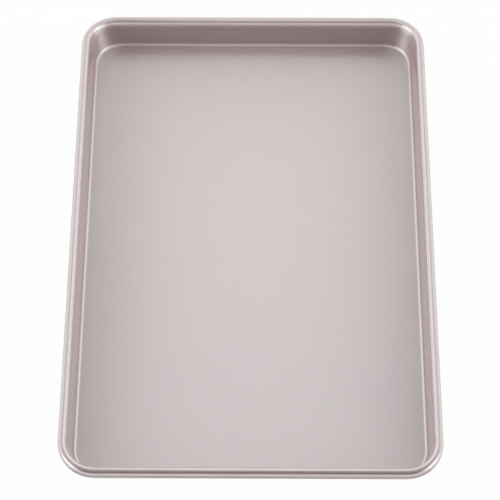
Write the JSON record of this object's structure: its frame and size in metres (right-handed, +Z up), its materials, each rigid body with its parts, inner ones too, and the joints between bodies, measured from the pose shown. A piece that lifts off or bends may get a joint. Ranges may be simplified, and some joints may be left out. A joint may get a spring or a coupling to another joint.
{
  "type": "rimmed baking sheet",
  "caption": "Shallow rectangular baking tray with rounded corners and walls that flare into a rim rolled over a stiffening wire; holds dough or food in an oven.",
  "frame": {"origin": "middle of the flat underside, where the tray rests", "axes": "+Z up, out of the tray's open side; +Y along the long sides; +X across, along the short sides"},
  "size_m": [0.265, 0.395, 0.0254],
  "materials": {
    "coated_steel": "satin champagne-rose non-stick coating",
    "wire_steel": "bright drawn wire"
  },
  "bodies": {
    "root": {"pan_sheet": "coated_steel", "rim_wire": "wire_steel"}
  },
  "joints": []
}
